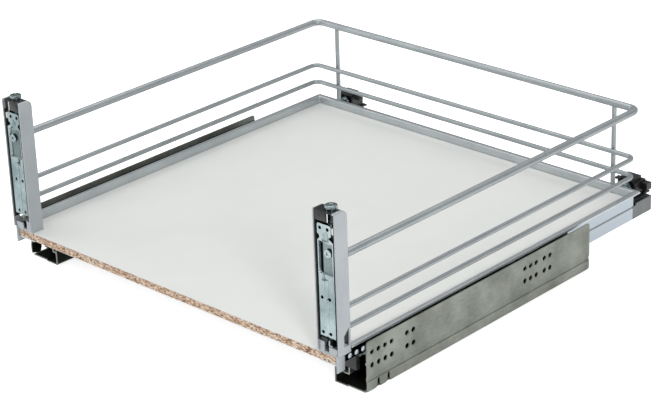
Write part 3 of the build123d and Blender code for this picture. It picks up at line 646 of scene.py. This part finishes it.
# %% Thumb wheel
wheel_low, wheel_high = box_in_mm("thumb_wheel_right")
wheel_x, wheel_y = (wheel_low[0] + wheel_high[0]) / 2, (wheel_low[1] + wheel_high[1]) / 2
wheel_bottom = wheel_high[2] - 4.5
rim_radius, tooth_depth, rim_height = 6.95, 0.55, 4.1
wheel = bmesh.new()
rim = bmesh.ops.create_circle(
    wheel, cap_ends=True, radius=rim_radius, segments=104,
    matrix=Matrix.Translation((wheel_x, wheel_y, wheel_bottom)),
)["verts"]
for index, vert in enumerate(rim):
    if index % 4 in (0, 1):
        inward = Vector((wheel_x - vert.co.x, wheel_y - vert.co.y, 0)).normalized()
        vert.co += inward * tooth_depth
raised = bmesh.ops.extrude_face_region(wheel, geom=wheel.faces[:])["geom"]
bmesh.ops.translate(
    wheel, vec=(0, 0, rim_height),
    verts=[item for item in raised if isinstance(item, bmesh.types.BMVert)],
)
turned(wheel, [(0, 4.3), (2.4, 4.3), (2.8, 4.5), (5.2, 4.5), (5.7, 4.3), (5.9, 4.0), (0, 4.0)],
       (wheel_x, wheel_y, wheel_bottom), (0, 0, 1), 48)
turned(wheel, [(0, -0.1), (5.3, -0.1), (5.3, -1.6), (2.5, -1.6), (2.5, -16), (3.8, -16.3),
               (3.8, -18), (2.5, -18.3), (2.5, -42), (0, -42)],
       (wheel_x, wheel_y, wheel_bottom), (0, 0, 1), 32)
place_piece(wheel, "knurled_thumb_wheel", bright_zinc, "thumb_wheel", "zinc", "thumb_wheel",
            sharp=25)

# %% [markdown]
# ## Clamping screws
#
# The screw in the sunk field has a domed rim and a cross recess. The recess is a cross-shaped
# hole in the face of the head with a floor behind it. A boolean would cut it too, but filling
# round the cross gives fewer and cleaner faces. The cross stands at 45 degrees.

# %% Clamping screw
screw_low, screw_high = box_in_mm("cam_screw_right")
screw_x, screw_z = (screw_low[0] + screw_high[0]) / 2, (screw_low[2] + screw_high[2]) / 2
arm, half = 2.7, 0.6  # half the length and half the width of the cross
face_radius, recess_depth = 4.0, 1.1
head = bmesh.new()
cross = [(arm, half), (half, half), (half, arm), (-half, arm), (-half, half), (-arm, half),
         (-arm, -half), (-half, -half), (-half, -arm), (half, -arm), (half, -half), (arm, -half)]
bmesh.ops.create_circle(
    head, radius=face_radius, segments=40,
    matrix=Matrix.Translation((0, screw_low[1] + 0.1, 0)) @ Matrix.Rotation(pi / 2, 4, "X"),
)
corners = [head.verts.new((x * cos(pi / 4) - z * sin(pi / 4), screw_low[1] + 0.1,
                           x * sin(pi / 4) + z * cos(pi / 4))) for x, z in cross]
for a, b in zip(corners, corners[1:] + corners[:1]):
    head.edges.new((a, b))
bmesh.ops.triangle_fill(head, use_beauty=True, edges=head.edges[:])
cross_edges = [edge for edge in head.edges if edge.is_boundary and
               all(Vector((v.co.x, 0, v.co.z)).length < face_radius - 0.4 for v in edge.verts)]
sunk = bmesh.ops.extrude_edge_only(head, edges=cross_edges)["geom"]
bmesh.ops.translate(
    head, vec=(0, recess_depth, 0),
    verts=[item for item in sunk if isinstance(item, bmesh.types.BMVert)],
)
floor_edges = [item for item in sunk if isinstance(item, bmesh.types.BMEdge) and item.is_boundary]
bmesh.ops.contextual_create(head, geom=floor_edges)
bmesh.ops.translate(head, vec=(screw_x, 0, screw_z), verts=head.verts)
turned(head, [(face_radius, 0.1), (4.6, 0.25), (5.0, 0.7), (5.0, 1.5), (1.9, 1.5),
              (1.9, 8.2), (0, 8.2)],
       (screw_x, screw_low[1], screw_z), (0, 1, 0), 40)
place_piece(head, "clamping_screw", bright_zinc, "cam", "zinc", "cam_screw", sharp=30)

# %% [markdown]
# ## Rear height adjusters
#
# Behind each rear corner a black moulding carries a knurled ring that levels the basket. From
# the front only its silhouette shows, so one spun profile with a toothed rim is enough for it.

# %% Adjuster wheel
ring_low, ring_high = box_in_mm("adjuster_wheel_right")
ring_x, ring_z = (ring_low[0] + ring_high[0]) / 2, (ring_low[2] + ring_high[2]) / 2
steps, wheel_radius, groove = 80, 6.95, 0.5
knob = bmesh.new()
turned(knob, [(0, 0.9), (2.2, 0.9), (2.4, 0.1), (3.4, 0.1), (3.6, 1.3), (4.6, 1.9), (5.6, 1.3),
              (6.6, 1.3), (wheel_radius, 1.8), (wheel_radius, 6.6), (6.5, 7.1), (2.5, 7.1),
              (2.5, 16.4), (0, 16.4)],
       (ring_x, ring_low[1], ring_z), (0, 1, 0), steps)
for vert in knob.verts:
    away = Vector((vert.co.x - ring_x, 0, vert.co.z - ring_z))
    angle = Vector((away.x, away.z)).angle_signed(Vector((1, 0)), 0)
    if away.length > 6.8 and round(angle / (2 * pi / steps)) % 4 in (0, 1):
        vert.co -= away.normalized() * groove
place_piece(knob, "levelling_wheel", bright_zinc, "adjuster", "zinc", "adjuster_wheel", sharp=30)

# %% [markdown]
# ## Wall rails
#
# The rail that is screwed to the cabinet wall is the largest metal piece near the viewer. Its
# plate has two rows of screw holes, a pressed groove, a rolled lower edge and two notches
# between rounded tabs. It is made like the plates above: filled from its outline, cut along
# the bend lines and pushed into shape.

# %% Wall rail
low, high = rail_low, rail_high
rail = bmesh.new()
first_hole = low[1] + 8.5
third = 32 / 3  # the holes of cabinet walls stand 32 mm apart, and this plate divides that
columns = [first_hole + i * third for i in range(4)]
columns += [first_hole + (5.4 + i) * third for i in range(2)]
columns += [first_hole + 288 + i * third for i in (-2, -1, 0)]
columns += [first_hole + 288 + 15.4 + i * third for i in range(2)]
rail_edge, notch_top = 0.8, 14.5
outline = [(low[1], rail_edge + 2)]
for notch in (low[1] + 18, low[1] + 34.5):
    half_notch = [(7, rail_edge), (4.2, rail_edge + 1.4), (2.4, rail_edge + 4.6), (1.6, notch_top)]
    outline += [(notch - across, height) for across, height in half_notch]
    outline += [(notch + across, height) for across, height in reversed(half_notch)]
outline += [(high[1], rail_edge), (high[1], high[2] - 3), (high[1] - 0.9, high[2] - 0.9),
            (high[1] - 3, high[2]), (low[1] + 3, high[2]), (low[1] + 0.9, high[2] - 0.9),
            (low[1], high[2] - 3)]
sheet_with_holes(rail, outline, [(y, z, 3.25) for y in columns for z in (50.0, 34.0)], -high[0])
bmesh.ops.rotate(rail, cent=(0, 0, 0), matrix=Matrix.Rotation(pi / 2, 3, "Z"), verts=rail.verts)

# %% Groove, rolled edge and trough
cut(rail, (0, 0, 1), (22.5, 21, 19.5, 16.5, 15))  # edges of the groove, in mm above the floor
cut(rail, (0, 0, 1), (6, 4.4, 3, 2, 1.3))  # steps of the rolled edge
groove_depth, shoulder_depth, roll_radius, roll_top = 0.8, 0.3, 5.2, 6
for vert in rail.verts:
    height = vert.co.z
    if 16 < height < 20:
        vert.co.x -= groove_depth
    elif 20 < height < 22:
        vert.co.x -= shoulder_depth
    elif height < roll_top:
        vert.co.x -= roll_radius - max(roll_radius ** 2 - (roll_top - height) ** 2, 0) ** 0.5
rail_sheet, trough_sheet, lip_height, floor_step = 1.4, 1.5, 20, 1.2
thicken(rail, (1, 0, 0), rail_sheet)
block(rail, (low[0], low[1], 0), (low[0] + trough_sheet, high[1], lip_height), 0.35)
block(rail, (low[0] + 0.3, low[1], 0), (low[0] + 19.6, high[1], trough_sheet), 0.3)
block(rail, (low[0] + 19, low[1], floor_step),
      (high[0] - 4, high[1], floor_step + trough_sheet), 0.3)
place_piece(rail, "wall_rail", wall_rail, "cabinet", "galvanised", "cabinet_rail", sharp=28)

# %% [markdown]
# ## Insides of the towers
#
# Black mouldings line each tower right up to its front edge. That dark frame round the bright
# plate is what the eye sees first. A pale guide, a thin strut and the tower's foot are added.
# All are blocks with rounded edges and small turned pieces, because only their ends are seen.

# %% Black lining
lining = bmesh.new()
block(lining, (inside + 1.5, front + 0.4, up + 16), (inside + 3.0, back - 1.5, roof - 13.2), 0.4)
block(lining, (outside - 3.0, front + 0.7, up + 16), (outside - 1.5, back - 1.5, roof - 13.2), 0.4)
block(lining, (inside + 1.5, back - 3.2, up + 3.2), (outside - 1.5, back - 1.6, roof - 13.2), 0.4)
block(lining, (inside + 1.6, front + 2.5, up + 14.5),
      (plate_middle - 3, front + 5, up + 19.5), 0.5)
place_piece(lining, "tower_lining", black_moulding, "basket", "black_plastic", "tower_liner")

# %% Black block under the roof, with the knob of the catch
crown = bmesh.new()
block(crown, (inside + 1.6, front + 0.8, roof - 12.9), (inside + 19, back - 8.2, roof - 1.6), 0.6)
block(crown, (inside + 22, front + 3.5, roof - 12.9), (outside - 1.6, back - 8.2, roof - 1.6), 0.6)
block(crown, (inside + 1.6, back - 8.6, roof - 12.9), (outside - 1.6, back - 4, roof - 4), 0.6)
turned(crown, [(0, -0.5), (2.2, -0.5), (2.8, 0.2), (3.2, 1.0)],
       (inside + 7.5, front + 0.8, roof - 7.5), (0, 1, 0), 24)
place_piece(crown, "tower_crown", black_moulding, "basket", "black_plastic", "tower_block")

# %% Strut and nylon guides
strut = bmesh.new()
strut_radius, strut_length = 0.65, 10.8
turned(strut, [(0, 0), (strut_radius, 0), (strut_radius, strut_length), (0, strut_length)],
       (inside + 20.6, front + 1.4, roof - 12.3), (0, 0, 1), 12)
place_piece(strut, "adjusting_strut", bright_steel, "basket", "zinc")
guide = bmesh.new()
block(guide, (plate_high[0] - 1.6, front + 1.2, up + 146),
      (plate_high[0] + 1.4, front + 6, up + 153.5), 0.5)
turned(guide, [(0, -3.2), (2.4, -3.0), (3.0, -2.2), (3.0, 2.2), (2.4, 3.0), (0, 3.2)],
       (outside - 3.6, back - 5.5, up + 9), (0, 0, 1), 24)
place_piece(guide, "nylon_guides", nylon, "basket", "roller_plastic")

# %% Foot with its lug and two tabs
foot = bmesh.new()
lug_high = box_in_mm("tower_foot_right")[1]
block(foot, (inside, front + 2, up + 0.05), (lug_high[0], back, up + 3), 0.3)
block(foot, (lug_high[0] - 1.5, front, up - 18), (lug_high[0], front + 12.5, up + 4), 0.35)
block(foot, (inside + 1.6, front + 1.5, up + 0.2), (inside + 9.2, front + 3.2, up + 14.5), 0.4)
block(foot, (inside + 16, front + 1.5, up + 0.2), (outside - 3.2, front + 3.2, up + 10), 0.4)
place_piece(foot, "tower_foot_plate", tower_lacquer, "basket", "tower_paint", "tower_foot")

# %% [markdown]
# ## Runner ends
#
# Beside each tower's foot a black cap covers the front end of the drawer runner. Its black is
# painted shade, put where the runner's front end lies in shade. It is a rounded block with a low
# round boss, a little larger than the plain one from CAD.

# %% Runner ends: black caps of painted shade
cap_low, cap_high = box_in_mm("runner_cap_right")
runner_end = bmesh.new()
block(runner_end, (cap_low[0] - 1.7, cap_low[1] - 1.0, cap_low[2] - 0.3),
      (cap_high[0] + 1.6, cap_high[1], cap_high[2] + 1.4), 0.8)
turned(runner_end, [(0, -1.2), (3.0, -1.2), (3.6, -0.6), (3.9, 0.4)],
       (cap_low[0] + 8, cap_low[1] - 1.0, (cap_low[2] + cap_high[2]) / 2), (0, 1, 0), 24)
# The black cap is painted shade over the runner's front end.
place_piece(runner_end, "runner_end_shade_cap", black_moulding, "basket", "black_plastic", "runner_cap")

# %% [markdown]
# ## Studio
#
# The object stands on a pale floor in soft light from large panels. The floor adds a little
# light of its own for the camera, and for reflections, so that it photographs as white. A white
# picture behind the object would be simpler, but the metal would have no floor to mirror.


# %% Floor
floor_mesh = bmesh.new()
bmesh.ops.create_grid(floor_mesh, x_segments=1, y_segments=1, size=8.0)
floor_data = bpy.data.meshes.new("studio_floor")
floor_mesh.to_mesh(floor_data)
floor_mesh.free()
floor = bpy.data.objects.new("studio_floor", floor_data)
floor.location.z = cad_low.z
bpy.context.scene.collection.objects.link(floor)
floor_glow = 0.75
white_floor = bpy.data.materials.new("white_studio_floor")
white_floor.use_nodes = True
tree = white_floor.node_tree
rays = node(tree, "LightPath").node.outputs
seen = node(tree, "Math", rays["Is Camera Ray"], rays["Is Glossy Ray"], operation="MAXIMUM")
seen = node(tree, "Math", seen, rays["Is Transmission Ray"], operation="MAXIMUM")
wire(
    tree.nodes["Principled BSDF"], Base_Color=linear("#E6E6E6"), Roughness=0.9,
    Emission_Color=(1, 1, 1, 1),
    Emission_Strength=node(tree, "Math", seen, floor_glow, operation="MULTIPLY"),
)
floor_data.materials.append(white_floor)
print("floor at a height of", round(floor.location.z, 4))

# %% [markdown]
# The world is white for the camera. For all other rays it has soft lighter and darker areas,
# like the cards of a studio, so that metal has something to mirror.

# %% World
world = bpy.data.worlds.new("studio_world")
bpy.context.scene.world = world
world.use_nodes = True
tree = world.node_tree
rays = node(tree, "LightPath").node.outputs
seen = node(tree, "Math", rays["Is Camera Ray"], rays["Is Transmission Ray"], operation="MAXIMUM")
direction = node(tree, "TexCoord").node.outputs["Generated"]
cards = node(tree, "TexNoise", Vector=direction, Scale=2.6, Detail=0.5)
darkest, lightest = 0.25, 0.62
lit = node(tree, "MapRange", cards, 0.4, 0.6, darkest, lightest)
strength = node(tree, "Mix", seen, lit, 1.0, data_type="FLOAT")
wire(tree.nodes["Background"], Color=(1, 1, 1, 1), Strength=strength)
print("world between", darkest, "and", lightest)

# %% [markdown]
# Three soft boxes light the object. The large one overhead gives the even light. The small one
# at the front right throws the faint shadow of the right tower over the panel.


# %% Lamps
def softbox(name, place, aim, size, power):
    """A rectangular lamp at a place, turned towards its aim."""
    lamp = bpy.data.lights.new(name, "AREA")
    lamp.shape = "RECTANGLE"
    lamp.size, lamp.size_y = size
    lamp.energy = power
    holder = bpy.data.objects.new(name, lamp)
    direction = (Vector(aim) - Vector(place)).to_track_quat("-Z", "Y")
    holder.matrix_world = Matrix.Translation(place) @ direction.to_matrix().to_4x4()
    bpy.context.scene.collection.objects.link(holder)
    print(name, "at", place, "with", power, "W")


softbox("overhead_softbox", (-0.3, 0.2, 2.2), (0, 0, 0), (2.4, 2.0), 33)
softbox("left_softbox", (-2.2, -1.2, 1.2), (0, 0, 0.05), (1.4, 1.4), 12)
softbox("right_softbox", (2.0, -1.28, 1.1), (0, 0, 0.05), (0.5, 0.5), 20)

# The standard view keeps the white floor white.
bpy.context.scene.view_settings.view_transform = "Standard"
